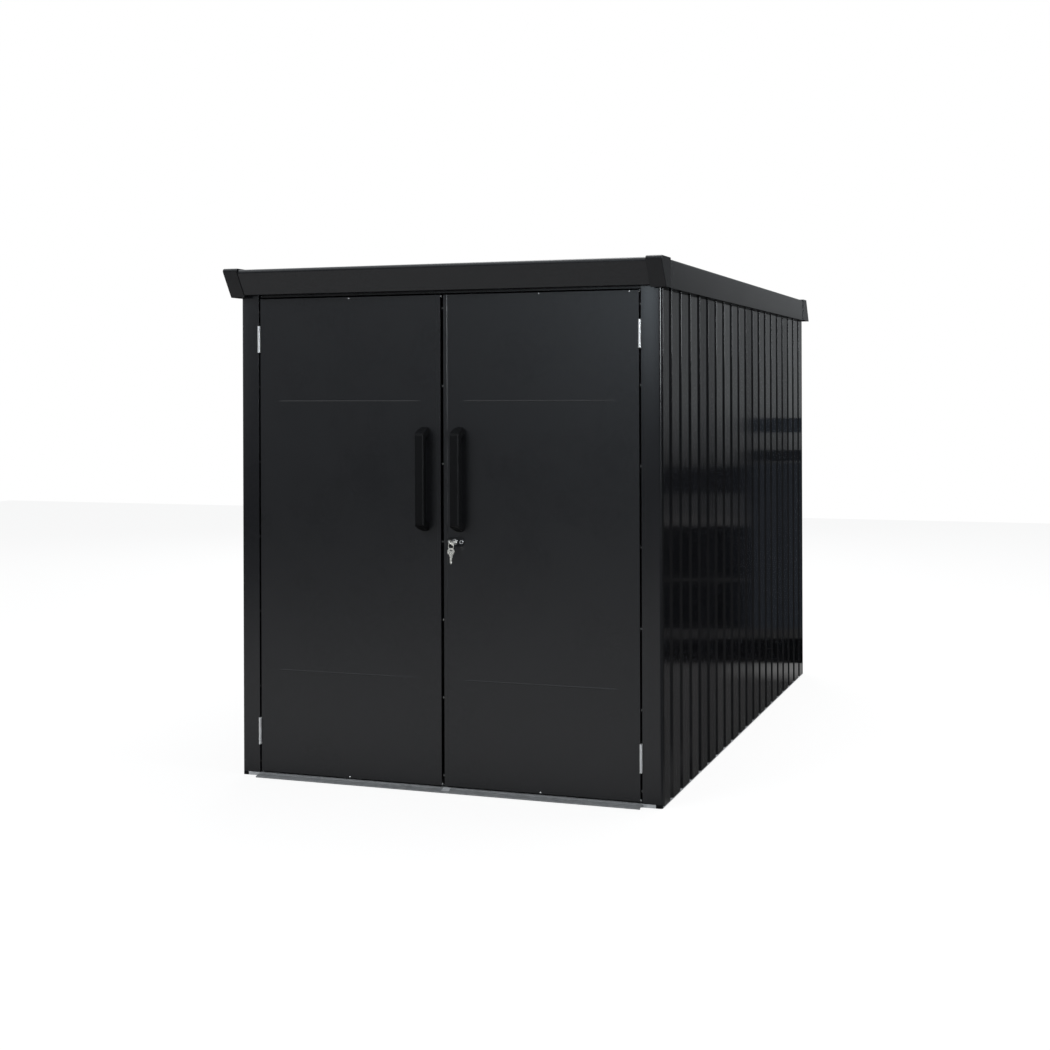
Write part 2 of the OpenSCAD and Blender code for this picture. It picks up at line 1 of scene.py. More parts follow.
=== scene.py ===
import json
import math
import bmesh
import bpy
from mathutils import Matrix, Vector

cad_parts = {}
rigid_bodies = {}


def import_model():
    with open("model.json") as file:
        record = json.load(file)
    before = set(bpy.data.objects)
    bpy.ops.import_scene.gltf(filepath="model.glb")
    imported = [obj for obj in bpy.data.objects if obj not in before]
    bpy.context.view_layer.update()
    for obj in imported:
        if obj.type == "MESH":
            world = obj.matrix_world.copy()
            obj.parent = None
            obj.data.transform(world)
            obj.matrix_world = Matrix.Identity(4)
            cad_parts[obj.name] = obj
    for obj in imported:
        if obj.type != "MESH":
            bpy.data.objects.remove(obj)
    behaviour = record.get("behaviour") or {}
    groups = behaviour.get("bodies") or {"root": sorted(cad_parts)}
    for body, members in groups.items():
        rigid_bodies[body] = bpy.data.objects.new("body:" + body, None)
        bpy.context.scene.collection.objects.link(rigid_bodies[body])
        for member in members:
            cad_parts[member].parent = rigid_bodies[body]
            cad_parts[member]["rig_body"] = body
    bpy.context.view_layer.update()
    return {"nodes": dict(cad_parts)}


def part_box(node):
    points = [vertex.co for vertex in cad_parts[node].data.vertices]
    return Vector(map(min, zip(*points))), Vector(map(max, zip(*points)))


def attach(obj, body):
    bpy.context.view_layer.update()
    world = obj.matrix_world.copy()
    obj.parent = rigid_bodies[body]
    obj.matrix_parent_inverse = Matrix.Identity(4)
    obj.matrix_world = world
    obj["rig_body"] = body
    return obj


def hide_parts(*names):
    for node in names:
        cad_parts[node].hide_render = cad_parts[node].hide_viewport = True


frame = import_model()

# ---------------------------------------------------------------------------
# Camera: level and at chest height, off to the right of the doors. It isn't
# tilted: the lens is shifted down instead, so that the posts stay upright.
# ---------------------------------------------------------------------------
corner_x, front_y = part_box("front_post_right")[1].x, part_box("front_post_right")[0].y
aside, in_front, eye_height, roll, turn = 1.082, 4.169, 1.10, 0.195, 19.34
camera = bpy.data.objects.new("camera", bpy.data.cameras.new("camera"))
camera.data.sensor_width = 36
camera.data.lens = 55.68
camera.data.shift_y = -0.1253
camera.location = (corner_x + aside, front_y - in_front, eye_height)
camera.rotation_euler = (math.radians(90), math.radians(roll), math.radians(turn))
bpy.context.scene.collection.objects.link(camera)
bpy.context.scene.camera = camera
bpy.context.scene.view_settings.view_transform = "Standard"


# ---------------------------------------------------------------------------
# Studio: a white room with a pale floor and four softboxes. Glossy steel also
# mirrors what the camera never sees: a dim far end, a pool of light on the
# floor, dark boards behind the right corner, a window and a bright strip.
# ---------------------------------------------------------------------------
class Socket:
    """An output of a node that can stand in a sum: each operator adds its Math node."""

    def __init__(self, tree, output):
        self.tree, self.output = tree, output

    def math(self, operation, *values):
        """A Math node on the values."""
        return self.tree.node("ShaderNodeMath", {"operation": operation}, dict(enumerate(values)))

    def other(self, name):
        """Another output of the same node."""
        return Socket(self.tree, self.output.node.outputs[name])

    def __add__(self, value):
        return self.math("ADD", self, value)

    def __mul__(self, value):
        return self.math("MULTIPLY", self, value)

    def __sub__(self, value):
        return self.math("SUBTRACT", self, value)

    def __rsub__(self, value):
        return self.math("SUBTRACT", value, self)

    __radd__, __rmul__ = __add__, __mul__


class Tree:
    """A node tree that is being built, of a material, the world or a Geometry Nodes group."""

    def __init__(self, nodes):
        self.nodes = nodes
        self.nodes.nodes.clear()

    def node(self, kind, settings=None, values=None, output=0):
        """A node with its settings, which come first, and the values or links of its inputs."""
        made = self.nodes.nodes.new(kind)
        for name, value in (settings or {}).items():
            if name == "stops":
                elements = made.color_ramp.elements
                while len(elements) < len(value):
                    elements.new(0.5)
                for element, (position, level) in zip(elements, value):
                    element.position, element.color = position, (level, level, level, 1)
            else:
                setattr(made, name, value)
        for name, value in (values or {}).items():
            if isinstance(value, Socket):
                self.nodes.links.new(value.output, made.inputs[name])
            else:
                made.inputs[name].default_value = value
        return Socket(self, made.outputs[output]) if len(made.outputs) else None


def placed(name, mesh):
    """A new object for a mesh whose place is in its vertices."""
    piece = bpy.data.objects.new(name, mesh)
    bpy.context.scene.collection.objects.link(piece)
    return piece


def sheet_between(name, corners):
    """A flat sheet with four corners."""
    mesh = bpy.data.meshes.new(name)
    mesh.from_pydata(corners, [], [(0, 1, 2, 3)])
    return placed(name, mesh)


world = bpy.data.worlds.new("studio")
world.use_nodes = True
bpy.context.scene.world = world
room = Tree(world.node_tree)
rays = room.node("ShaderNodeLightPath")
direction = room.node("ShaderNodeSeparateXYZ", {}, {0: room.node("ShaderNodeTexCoord")})
across, along, height = direction, direction.other("Y"), direction.other("Z")


def ramp(tree, value, stops):
    """A level that follows a value through the stops, given as pairs of value and level."""
    low, high = stops[0][0], stops[-1][0]
    share = tree.node("ShaderNodeMapRange", {}, {"Value": value, "From Min": low, "From Max": high})
    stops = [((position - low) / (high - low), level) for position, level in stops]
    return tree.node("ShaderNodeValToRGB", {"stops": stops}, {0: share})


front_wall = ramp(room, across, [(-1.0, 1.0), (-0.66, 1.0), (-0.56, 0.43), (0.05, 0.43),
                                 (0.25, 0.11), (1.0, 0.11)])
front_wall = front_wall * ramp(room, height, [(-0.2, 0.05), (-0.02, 0.08), (0.03, 1.0), (0.2, 1.0)])
rear_level, ripple, ripple_rate, ambient = 0.15, 0.15, 160, 0.5
rear_wall = rear_level * ramp(room, height, [(-0.08, 0.2), (-0.063, 0.26), (-0.057, 0.06), (-0.046, 0.05),
                                             (-0.0425, 0.36), (-0.025, 0.62), (-0.005, 0.95), (0.2, 1.0)])
high = ramp(room, height, [(0.04, 0.0), (0.06, 1.0)])
low_stripe = ramp(room, across, [(0.15, 1.4), (0.20, 1.05), (0.23, 0.92), (0.26, 0.72)])
high_stripe = ramp(room, across, [(0.16, 1.6), (0.26, 0.65)])
rear_wall = rear_wall * (low_stripe * (1 - high) + high_stripe * high)
rear_wall = rear_wall * (1 + ripple * across.math("SINE", across * ripple_rate))
far = ramp(room, along, [(0.2, 0.0), (0.6, 1.0)])
ceiling = ramp(room, height, [(0.25, 0.0), (0.45, 0.5), (0.8, 1.4)])
mirrored = front_wall * (1 - far) + rear_wall * far + ceiling
glossy = rays.other("Is Glossy Ray")
level = glossy * mirrored + (1 - glossy) * ambient
lit = room.node("ShaderNodeBackground", {}, {"Color": (0.93, 0.97, 1.0, 1), "Strength": level})
white = room.node("ShaderNodeBackground", {}, {"Color": (1, 1, 1, 1), "Strength": 1.0})
seen = room.node("ShaderNodeMixShader", {}, {0: rays.other("Is Camera Ray"), 1: lit, 2: white})
room.node("ShaderNodeOutputWorld", {}, {"Surface": seen})

floor_half, floor_z = 9, -0.0005
floor = sheet_between("floor", [(x * floor_half, y * floor_half, floor_z)
                                for x, y in [(-1, -1), (1, -1), (1, 1), (-1, 1)]])
floor_finish = bpy.data.materials.new("pale_floor")
floor_finish.use_nodes = True
ground = Tree(floor_finish.node_tree)
rays = ground.node("ShaderNodeLightPath")
floor_x = ground.node("ShaderNodeSeparateXYZ", {}, {0: ground.node("ShaderNodeTexCoord").other("Object")})
floor_y = floor_x.other("Y")
pool_slant, strip_level, floor_share = 1.2, 0.22, 0.12
pool = ramp(ground, floor_y + pool_slant * floor_x, [(-9.0, 0.1), (-7.2, 0.45), (-6.2, 0.85), (-5.2, 1.0)])
pool = pool * ramp(ground, floor_y, [(-9.0, 0.4), (-5.0, 0.56), (-1.7, 0.59), (-1.2, 0.42), (-0.95, 0.0)])
pool = pool * ramp(ground, floor_x, [(0.55, 1.0), (1.0, 0.12)])
behind = ramp(ground, floor_y, [(-1.2, 0.0), (-0.95, 0.05), (1.3, 0.055), (1.8, 0.025),
                                (5.0, 0.035), (6.5, 0.05), (9.0, 0.05)])
pool = pool + behind * ramp(ground, floor_x.math("ABSOLUTE", floor_x), [(0.58, 0.0), (0.63, 1.0)])
strip = strip_level * ramp(ground, floor_y, [(0.9, 0.0), (1.15, 1.0), (1.35, 1.0), (1.4, 0.0)])
pool = pool + strip * ramp(ground, floor_x, [(0.6, 1.0), (0.72, 0.9), (0.95, 0.0)])
pool_light = ground.node("ShaderNodeEmission", {}, {"Color": (1, 1, 1, 1), "Strength": pool})
paint = ground.node("ShaderNodeBsdfDiffuse", {}, {"Color": (0.8, 0.8, 0.8, 1)})
glow = ground.node("ShaderNodeEmission", {}, {"Color": (1, 1, 1, 1), "Strength": 1.0})
to_camera = ground.node("ShaderNodeMixShader", {}, {0: floor_share, 1: glow, 2: paint})
to_room = ground.node("ShaderNodeMixShader", {}, {0: rays.other("Is Glossy Ray"), 1: paint, 2: pool_light})
shown = ground.node("ShaderNodeMixShader", {}, {0: rays.other("Is Camera Ray"), 1: to_room, 2: to_camera})
ground.node("ShaderNodeOutputMaterial", {}, {"Surface": shown})
floor.data.materials.append(floor_finish)


def board(name, corners, colour, strength):
    """A board of even brightness that only mirror-like surfaces see."""
    piece = sheet_between(name, corners)
    finish = bpy.data.materials.new(name)
    finish.use_nodes = True
    tree = Tree(finish.node_tree)
    light = tree.node("ShaderNodeEmission", {}, {"Color": (*colour, 1), "Strength": strength})
    tree.node("ShaderNodeOutputMaterial", {}, {"Surface": light})
    piece.data.materials.append(finish)
    piece.visible_camera = piece.visible_diffuse = piece.visible_shadow = False


rear_x, rear_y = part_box("back_post_right")[1].x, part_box("back_post_right")[1].y
board_back, board_slant, board_colour = 0.257, 0.341, (0.68, 0.81, 1.0)
for part, start, stop, rows in [
        ("inner", 0.02, 0.27, [(0.0, 0.10, 0.0), (0.14, 0.815, 0.03), (0.821, 0.867, 0.015),
                               (0.938, 0.997, 0.035)]),
        ("outer", 0.27, 0.90, [(0.0, 0.10, 0.0), (0.14, 0.335, 0.0), (0.345, 0.56, 0.0),
                               (0.69, 0.80, 0.006)])]:
    (x0, y0), (x1, y1) = [(rear_x + x, rear_y + board_back - board_slant * x) for x in (start, stop)]
    for number, (low, high, strength) in enumerate(rows):
        board(f"{part}_board_{number}", [(x0, y0, low), (x1, y1, low), (x1, y1, high), (x0, y0, high)],
              board_colour, strength)
board("window", [(-1.75, -9.5, 1.5), (-0.5, -9.5, 1.5), (-0.5, -9.5, 3.2), (-1.75, -9.5, 3.2)],
      colour=(0.80, 0.91, 1.0), strength=3.6)
board("edge_strip", [(5, -3.4, 1.3), (5, -1.2, 1.3), (5, -1.2, 3.4), (5, -3.4, 3.4)],
      colour=(0.9, 0.96, 1.0), strength=22.0)


def lamp(name, place, aim, size, watts, colour=(1, 1, 1), mirrored=False):
    """A square softbox that points at its aim."""
    light = bpy.data.lights.new(name, "AREA")
    light.size, light.energy, light.color = size, watts, colour
    made = bpy.data.objects.new(name, light)
    made.location = place
    made.rotation_euler = (made.location - Vector(aim)).to_track_quat("Z", "Y").to_euler()
    made.visible_glossy = mirrored
    bpy.context.scene.collection.objects.link(made)


lamp("front_softbox", (-2.4, -5.2, 4.2), (0, -0.6, 0.7), size=3.0, watts=230, colour=(0.96, 0.98, 1.0))
lamp("overhead_softbox", (0.6, 0.8, 5.2), (0, 0, 0), size=3.5, watts=240, mirrored=True)
lamp("right_softbox", (5.5, -1.5, 3.6), (0, 0, 0.8), size=2.5, watts=160)
lamp("rear_softbox", (-2.5, 5.5, 3.6), (0, 0, 0.8), size=2.5, watts=140)


# ---------------------------------------------------------------------------
# Base rails, door sill and roof beams: hot-dip galvanised steel, folded or
# cut from angle. The zinc has grown in pale and dark spangles, and is darker
# on the sill.
# ---------------------------------------------------------------------------
def material(name):
    """A new material, and its tree to build."""
    made = bpy.data.materials.new(name)
    made.use_nodes = True
    return made, Tree(made.node_tree)


def close(tree, values):
    """Ends a material with its shader."""
    shader = tree.node("ShaderNodeBsdfPrincipled", {}, values)
    tree.node("ShaderNodeOutputMaterial", {}, {"Surface": shader})


def object_place(tree):
    """The place of each point on the piece, in metres."""
    return tree.node("ShaderNodeTexCoord").other("Object")


def noise(tree, place, scale, detail=2.0, stretch=(1, 1, 1)):
    """Cloudy variation from 0 to 1, with so many clouds a metre."""
    if stretch != (1, 1, 1):
        place = tree.node("ShaderNodeMapping", {}, {"Vector": place, "Scale": stretch})
    return tree.node("ShaderNodeTexNoise", {}, {"Vector": place, "Scale": scale, "Detail": detail})


def bump(tree, height, depth, under=None):
    """A surface that rises with the height, by the depth in metres, over any other bump under it."""
    values = {"Height": height, "Distance": depth, "Strength": 1.0}
    if under:
        values["Normal"] = under
    return tree.node("ShaderNodeBump", {}, values)


def blend(tree, amount, first, second):
    """A colour between two, as the amount goes from 0 to 1."""
    return tree.node("ShaderNodeMix", {"data_type": "RGBA"},
                     {"Factor": amount, "A": (*first, 1), "B": (*second, 1)}, output="Result")


def zinc_skin(name, dark, light):
    """Galvanised steel: crystals over soft clouds, and a fine grain."""
    spangles, clouds, grains, grain_depth = 90.0, 14.0, 420.0, 0.00006
    made, tree = material(name)
    place = object_place(tree)
    spangle = tree.node("ShaderNodeTexVoronoi", {}, {"Vector": place, "Scale": spangles}).other("Color")
    spangle = tree.node("ShaderNodeSeparateXYZ", {}, {0: spangle})
    cloud = noise(tree, place, clouds)
    close(tree, {"Base Color": blend(tree, spangle * 0.6 + cloud * 0.4, dark, light),
                 "Metallic": 0.5, "Roughness": 0.42 + 0.16 * spangle.other("Y"),
                 "Normal": bump(tree, noise(tree, place, grains), grain_depth)})
    return made


galvanised = zinc_skin("galvanised", (0.34, 0.35, 0.36), (0.50, 0.51, 0.52))
# The sill's zinc is darker than the rails'.
darker_zinc = zinc_skin("darker_galvanised", (0.15, 0.155, 0.16), (0.24, 0.245, 0.25))


def paint_node(node, finish):
    """Gives a node of the frame its finish."""
    slots = frame["nodes"][node].data.materials
    slots.clear()
    slots.append(finish)


def plain(draft, modifiers):
    """The mesh that a draft object makes with its modifiers. The draft is removed."""
    for kind, settings in modifiers:
        made = draft.modifiers.new(kind.lower(), kind)
        for setting, value in settings.items():
            setattr(made, setting, value)
    graph = bpy.context.evaluated_depsgraph_get()
    shape = bpy.data.meshes.new_from_object(draft.evaluated_get(graph))
    bpy.data.objects.remove(draft)
    return shape


def edge_round(width, steps, angle=28):
    """The modifier that rounds each edge where faces turn by more than the angle."""
    return ("BEVEL", {"width": width, "segments": steps, "limit_method": "ANGLE",
                      "angle_limit": math.radians(angle), "harden_normals": True})


def rounded(node, finish, edge, steps=2):
    """A node's shape with its edges rounded, which stands for the node."""
    weld, flat = 1e-6, math.radians(0.5)
    source = frame["nodes"][node]
    mesh = bpy.data.meshes.new(node)
    mesh.from_pydata([v.co for v in source.data.vertices], [], [f.vertices for f in source.data.polygons])
    work = bmesh.new()
    work.from_mesh(mesh)
    bmesh.ops.remove_doubles(work, verts=work.verts, dist=weld)
    bmesh.ops.dissolve_limit(work, angle_limit=flat, verts=work.verts, edges=work.edges)
    work.to_mesh(mesh)
    work.free()
    mesh.materials.append(finish)
    for face in mesh.polygons:
        face.use_smooth = True
    piece = placed(node + "_rounded", plain(placed("draft", mesh), [edge_round(edge, steps)]))
    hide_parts(node)
    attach(piece, source["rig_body"])


for node in ["base_rail_front", "base_rail_left", "base_rail_right", "base_rail_back", "roof_beams"]:
    paint_node(node, galvanised)
rounded("door_sill", darker_zinc, edge=0.0003)


# ---------------------------------------------------------------------------
# Corner feet and corner caps: moulded black plastic with a fine spark-eroded
# grain. The feet close the base rails' ends, and the caps the roof trims'.
# ---------------------------------------------------------------------------
def moulded(name, dark, light, roughness, spread, ior, depth):
    """Black plastic with its grain, whose roughness varies by the spread."""
    grains, clouds = 1500.0, 9.0
    made, tree = material(name)
    place = object_place(tree)
    grain, patches = noise(tree, place, grains, detail=3.0), noise(tree, place, clouds)
    close(tree, {"Base Color": blend(tree, patches, dark, light), "Roughness": roughness + spread * grain,
                 "IOR": ior, "Normal": bump(tree, grain, depth)})
    return made


plastic = moulded("black_plastic", (0.0010, 0.0011, 0.0014), (0.0020, 0.0021, 0.0026),
                  roughness=0.55, spread=0.1, ior=1.22, depth=0.00005)
paint_node("corner_feet", plastic)
for ends, roughness, ior in [("back", 0.12, 1.5), ("front", 0.24, 1.38)]:
    cap_plastic = moulded(ends + "_cap_plastic", (0.0030, 0.0033, 0.0042), (0.0050, 0.0053, 0.0064),
                          roughness, spread=0.08, ior=ior, depth=0.00002)
    for side in ["left", "right"]:
        rounded(f"corner_cap_{ends}_{side}", cap_plastic, edge=0.0012, steps=3)


# ---------------------------------------------------------------------------
# Posts, head and top rails, roof deck and front trim: thin steel sheet, folded
# and powder-coated satin black. The coat has a faint orange peel, and wide
# sheets aren't quite flat.
# ---------------------------------------------------------------------------
def powder_coat(name, dark, light, roughness, wave, ior=1.5, crown_gloss=0.0):
    """Black powder coat on sheet that bows by the wave. Crowns may have more gloss, each its own."""
    peels, peel_depth, bows, clouds, crown_roughness = 700.0, 0.000012, 3.0, 5.0, 0.06
    made, tree = material(name)
    place = object_place(tree)
    peel = noise(tree, place, peels, detail=1.0)
    bow = noise(tree, place, bows, detail=0.0, stretch=(1.0, 1.0, 0.6))
    patches = noise(tree, place, clouds)
    values = {"Base Color": blend(tree, patches, dark, light),
              "Roughness": roughness + 0.05 * patches + 0.03 * peel, "IOR": ior,
              "Normal": bump(tree, peel, peel_depth, bump(tree, bow, wave))}
    if crown_gloss:
        crown = tree.node("ShaderNodeAttribute", {"attribute_name": "crown"}).other("Fac")
        values.update({"Coat Weight": crown_gloss * crown, "Coat Roughness": crown_roughness})
    close(tree, values)
    return made


blacks = (0.0050, 0.0053, 0.0063), (0.0068, 0.0071, 0.0084)
satin_black = powder_coat("satin_black", *blacks, roughness=0.24, wave=0.0006)
semi_gloss = powder_coat("semi_gloss_black", *blacks, roughness=0.16, wave=0.0004)
for node in ["front_post_left", "front_post_right"]:
    rounded(node, semi_gloss, edge=0.0003)
for node in ["back_post_left", "back_post_right", "head_rail", "top_rail_left", "top_rail_right",
             "top_rail_back", "roof_deck"]:
    paint_node(node, satin_black)


def bend(before, corner, after, radius, steps=10):
    """The points of a round fold at a corner of a path."""
    corner = Vector(corner)
    ways = [(Vector(point) - corner).normalized() for point in (before, after)]
    half = ways[0].angle(ways[1]) / 2
    centre = corner + (ways[0] + ways[1]).normalized() * (radius / math.sin(half))
    start, stop = [(corner + way * (radius / math.tan(half)) - centre).normalized() for way in ways]
    return [centre + start.slerp(stop, step / steps) * radius for step in range(steps + 1)]


def thickened(thickness):
    """The modifier that gives a sheet its thickness, inwards."""
    return ("SOLIDIFY", {"thickness": thickness, "offset": -1, "use_even_offset": True})


def folded_sheet(name, path, from_x, to_x, thickness, finish):
    """A sheet folded along a path of (0, y, z), from one x to another."""
    mesh = bpy.data.meshes.new(name)
    mesh.from_pydata([(x, point[1], point[2]) for point in path for x in (from_x, to_x)], [],
                     [(2 * i + 1, 2 * i + 3, 2 * i + 2, 2 * i) for i in range(len(path) - 1)])
    mesh.materials.append(finish)
    for face in mesh.polygons:
        face.use_smooth = True
    edges = edge_round(thickness / 4, steps=2, angle=30)
    return placed(name, plain(placed("draft", mesh), [thickened(thickness), edges]))


trim_low, trim_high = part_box("trim_front")
trim_foot, trim_lean, trim_seam, trim_t, trim_fold = 0.026, 0.0735, 0.008, 0.0012, 0.0085
trim_black = powder_coat("trim_black", (0.0058, 0.0062, 0.0072), (0.0072, 0.0076, 0.0088),
                         roughness=0.24, wave=0.0004, ior=1.42)
foot = (0, front_y - trim_foot, trim_low.z)
top = (0, front_y - trim_lean, trim_high.z)
lip = (0, front_y + trim_seam, trim_high.z)
path = [(0, front_y + trim_seam, trim_low.z), foot, *bend(foot, top, lip, trim_fold), lip]
fascia = folded_sheet("front_fascia", path, trim_low.x, trim_high.x, trim_t, trim_black)
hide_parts("trim_front")
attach(fascia, "shed")

# ---------------------------------------------------------------------------
# Walls, and the roof's side and back trims: steel sheet in gloss black. A wall
# is one roll-formed strip, with narrow grooves between broad flat crowns that
# differ a little in gloss.
# ---------------------------------------------------------------------------
gloss_black = powder_coat("gloss_black", (0.0045, 0.0048, 0.0056), (0.0060, 0.0063, 0.0072),
                          roughness=0.09, wave=0.0005, crown_gloss=0.7)


def group(name, inputs):
    """An empty Geometry Nodes tree with a geometry and the named inputs, given with their kinds."""
    nodes = bpy.data.node_groups.new(name, "GeometryNodeTree")
    nodes.interface.new_socket("Geometry", in_out="OUTPUT", socket_type="NodeSocketGeometry")
    nodes.interface.new_socket("Geometry", in_out="INPUT", socket_type="NodeSocketGeometry")
    for label, kind in inputs.items():
        nodes.interface.new_socket(label, in_out="INPUT", socket_type="NodeSocket" + kind)
    tree = Tree(nodes)
    return nodes, tree, tree.node("NodeGroupInput")


def finished(tree, geometry, finish):
    """Ends a tree with real, smooth geometry in its finish."""
    for kind, values in [("GeometryNodeRealizeInstances", {}), ("GeometryNodeSetShadeSmooth", {}),
                         ("GeometryNodeSetMaterial", {"Material": finish})]:
        geometry = tree.node(kind, {}, {"Geometry": geometry, **values})
    tree.node("NodeGroupOutput", {}, {0: geometry})


def grown(name, nodes, values, finish, base=None, modifiers=()):
    """The piece that a Geometry Nodes tree makes from a base mesh, with any modifiers after it.
    Without modifiers, edges over the sharp angle stay sharp."""
    sharp = math.radians(40)
    draft = placed("draft", base or bpy.data.meshes.new(name))
    grower = draft.modifiers.new(name, "NODES")
    grower.node_group = nodes
    for item in nodes.interface.items_tree:
        if item.in_out == "INPUT" and item.name in values:
            grower[item.identifier] = values[item.name]
        if item.in_out == "INPUT" and item.name == "Finish":
            grower[item.identifier] = finish
    shape = plain(draft, modifiers)
    if not modifiers:
        shape.set_sharp_from_angle(angle=sharp)
    return placed(name, shape)


def choose(tree, index, values):
    """The value whose place in the list is the index."""
    switch = tree.nodes.nodes.new("GeometryNodeIndexSwitch")
    switch.data_type = "FLOAT"
    while len(switch.index_switch_items) < len(values):
        switch.index_switch_items.new()
    for socket, value in zip([switch.inputs[0], *switch.inputs[1:len(values) + 1]], [index, *values]):
        if isinstance(value, Socket):
            tree.nodes.links.new(value.output, socket)
        else:
            socket.default_value = value
    return Socket(tree, switch.outputs[0])


ribbed, tree, given = group("ribbed_wall", {
    "Length": "Float", "End": "Float", "Seam": "Float", "First groove": "Float", "Pitch": "Float",
    "Grooves": "Int", "Groove width": "Float", "Slope": "Float", "Depth": "Float", "Lip": "Float",
    "Height": "Float", "Waviness": "Float", "Seed": "Int", "Place": "Vector", "Turn": "Vector",
    "Finish": "Material"})
# The strip's corners go by fours: the near end, each groove, and the far end.
depth, slope = given.other("Depth"), given.other("Slope")
near, seam_end = given.other("End"), given.other("End") + given.other("Seam")
length = given.other("Length")
index = tree.node("GeometryNodeInputIndex")
fold = index.math("MODULO", index, 4)
groove = index.math("FLOOR", index * 0.25)
half = given.other("Groove width") * 0.5
middle = given.other("First groove") + (groove - 1) * given.other("Pitch")
crown, bottom = 0.0, -1 * depth
stretch = (groove.math("GREATER_THAN", groove, 0.5)
           + groove.math("GREATER_THAN", groove, given.other("Grooves") + 0.5))
start = [near, near, seam_end, seam_end + slope]
along_start = choose(tree, fold, start)
along_end = length - choose(tree, fold, start[::-1])
along_groove = middle + choose(tree, fold, [-1 * half, slope - half, half - slope, half])
out_start = choose(tree, fold, [bottom - given.other("Lip"), bottom, bottom, crown])
out_end = choose(tree, fold, [crown, bottom, bottom, bottom - given.other("Lip")])
out_groove = choose(tree, fold, [crown, bottom, bottom, crown])
along = choose(tree, stretch, [along_start, along_groove, along_end])
wave = tree.node("FunctionNodeRandomValue", {"data_type": "FLOAT"},
                 {"ID": index, "Seed": given.other("Seed")}, 1)
out = choose(tree, stretch, [out_start, out_groove, out_end]) + given.other("Waviness") * (wave - 1)
place = tree.node("ShaderNodeCombineXYZ", {}, {"X": along, "Y": -1 * out})
corners = tree.node("GeometryNodeMeshLine", {}, {"Count": given.other("Grooves") * 4 + 8})
section = tree.node("GeometryNodeSetPosition", {}, {"Geometry": corners, "Position": place})
# Both edges of a crown get the same random gloss.
gloss = tree.node("FunctionNodeRandomValue", {"data_type": "FLOAT"},
                  {"ID": index.math("FLOOR", (index + 2) * 0.25), "Seed": given.other("Seed")}, 1)
section = tree.node("GeometryNodeStoreNamedAttribute", {"data_type": "FLOAT", "domain": "POINT"},
                    {"Geometry": section, "Name": "crown", "Value": gloss})
rise = tree.node("ShaderNodeCombineXYZ", {}, {"Z": given.other("Height")})
sheet = tree.node("GeometryNodeExtrudeMesh", {"mode": "EDGES"}, {"Mesh": section, "Offset": rise})
sheet = tree.node("GeometryNodeTransform", {}, {"Geometry": sheet, "Translation": given.other("Place"),
                                                "Rotation": given.other("Turn")})
finished(tree, sheet, given.other("Finish"))

sheet_t, groove_depth, groove_w, rib_slope, lip_w, seam_w = 0.001, 0.009, 0.034, 0.004, 0.008, 0.008
first_groove, rib_pitch, fold_round, waviness = 0.098, 0.112, 0.0012, 0.0008
left_x, wall_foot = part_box("wall_left")[0].x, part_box("wall_left")[0].z
shed_w, shed_d = -2 * left_x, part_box("wall_back")[1].y - front_y
wall_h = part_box("wall_left")[1].z - wall_foot
walls = {"wall_right": (shed_d, (shed_w / 2, front_y), 90),
         "wall_left": (shed_d, (left_x, front_y + shed_d), -90),
         "wall_back": (shed_w, (shed_w / 2, front_y + shed_d), 180)}
for node, (length, (x, y), turn) in walls.items():
    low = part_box(node)[0]
    end = low.y - front_y if node != "wall_back" else low.x - left_x
    spaces = round((length - 2 * first_groove) / rib_pitch)
    wall = grown(node + "_sheet", ribbed, {
        "Length": length, "End": end, "Seam": seam_w, "First groove": first_groove,
        "Pitch": (length - 2 * first_groove) / spaces, "Grooves": spaces + 1, "Groove width": groove_w,
        "Slope": rib_slope, "Depth": groove_depth, "Lip": lip_w, "Height": wall_h, "Waviness": waviness,
        "Seed": 3, "Place": (x, y, wall_foot), "Turn": (0, 0, math.radians(turn))},
        gloss_black, modifiers=[thickened(sheet_t), edge_round(fold_round, steps=3)])
    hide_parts(node)
    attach(wall, "shed")
for node in ["trim_left", "trim_right", "trim_back"]:
    rounded(node, gloss_black, edge=0.0003)

# ---------------------------------------------------------------------------
# Doors: two leaves of sheet steel in satin black. Each is an outer skin, folded
# back round its four edges over an inner liner and riveted to it.
# ---------------------------------------------------------------------------
for side in ["left", "right"]:
    rounded(side + "_door_skin", satin_black, edge=0.00018)
    paint_node(side + "_door_liner", satin_black)

# ---------------------------------------------------------------------------
# Hinges: butt hinges of zinc-plated steel strip, two for each door. Their
# leaves are rolled round pins that stand in front of the gap beside the post.
# ---------------------------------------------------------------------------
zinc, tree = material("zinc_plate")
place = object_place(tree)
streaks = noise(tree, place, 260.0, stretch=(1, 1, 0.1))
close(tree, {"Base Color": blend(tree, streaks, (0.46, 0.47, 0.48), (0.58, 0.58, 0.58)),
             "Metallic": 0.5, "Roughness": 0.30 + 0.14 * streaks})
for node in ["frame_hinges_left", "frame_hinges_right", "left_door_hinges", "right_door_hinges"]:
    rounded(node, zinc, edge=0.0002)

# ---------------------------------------------------------------------------
# Rivets and screws: blind aluminium rivets hold each door's skin to its liner
# and the posts' folded jambs, and black ones hold the head rail. Countersunk
# screws hold the hinges, and zinc-plated tubular rivets the lock plate.
# ---------------------------------------------------------------------------
aluminium, tree = material("aluminium")
place = object_place(tree)
turned = noise(tree, place, 900.0)
close(tree, {"Base Color": blend(tree, turned, (0.66, 0.67, 0.68), (0.82, 0.82, 0.82)),
             "Metallic": 0.5, "Roughness": 0.24 + 0.14 * turned})


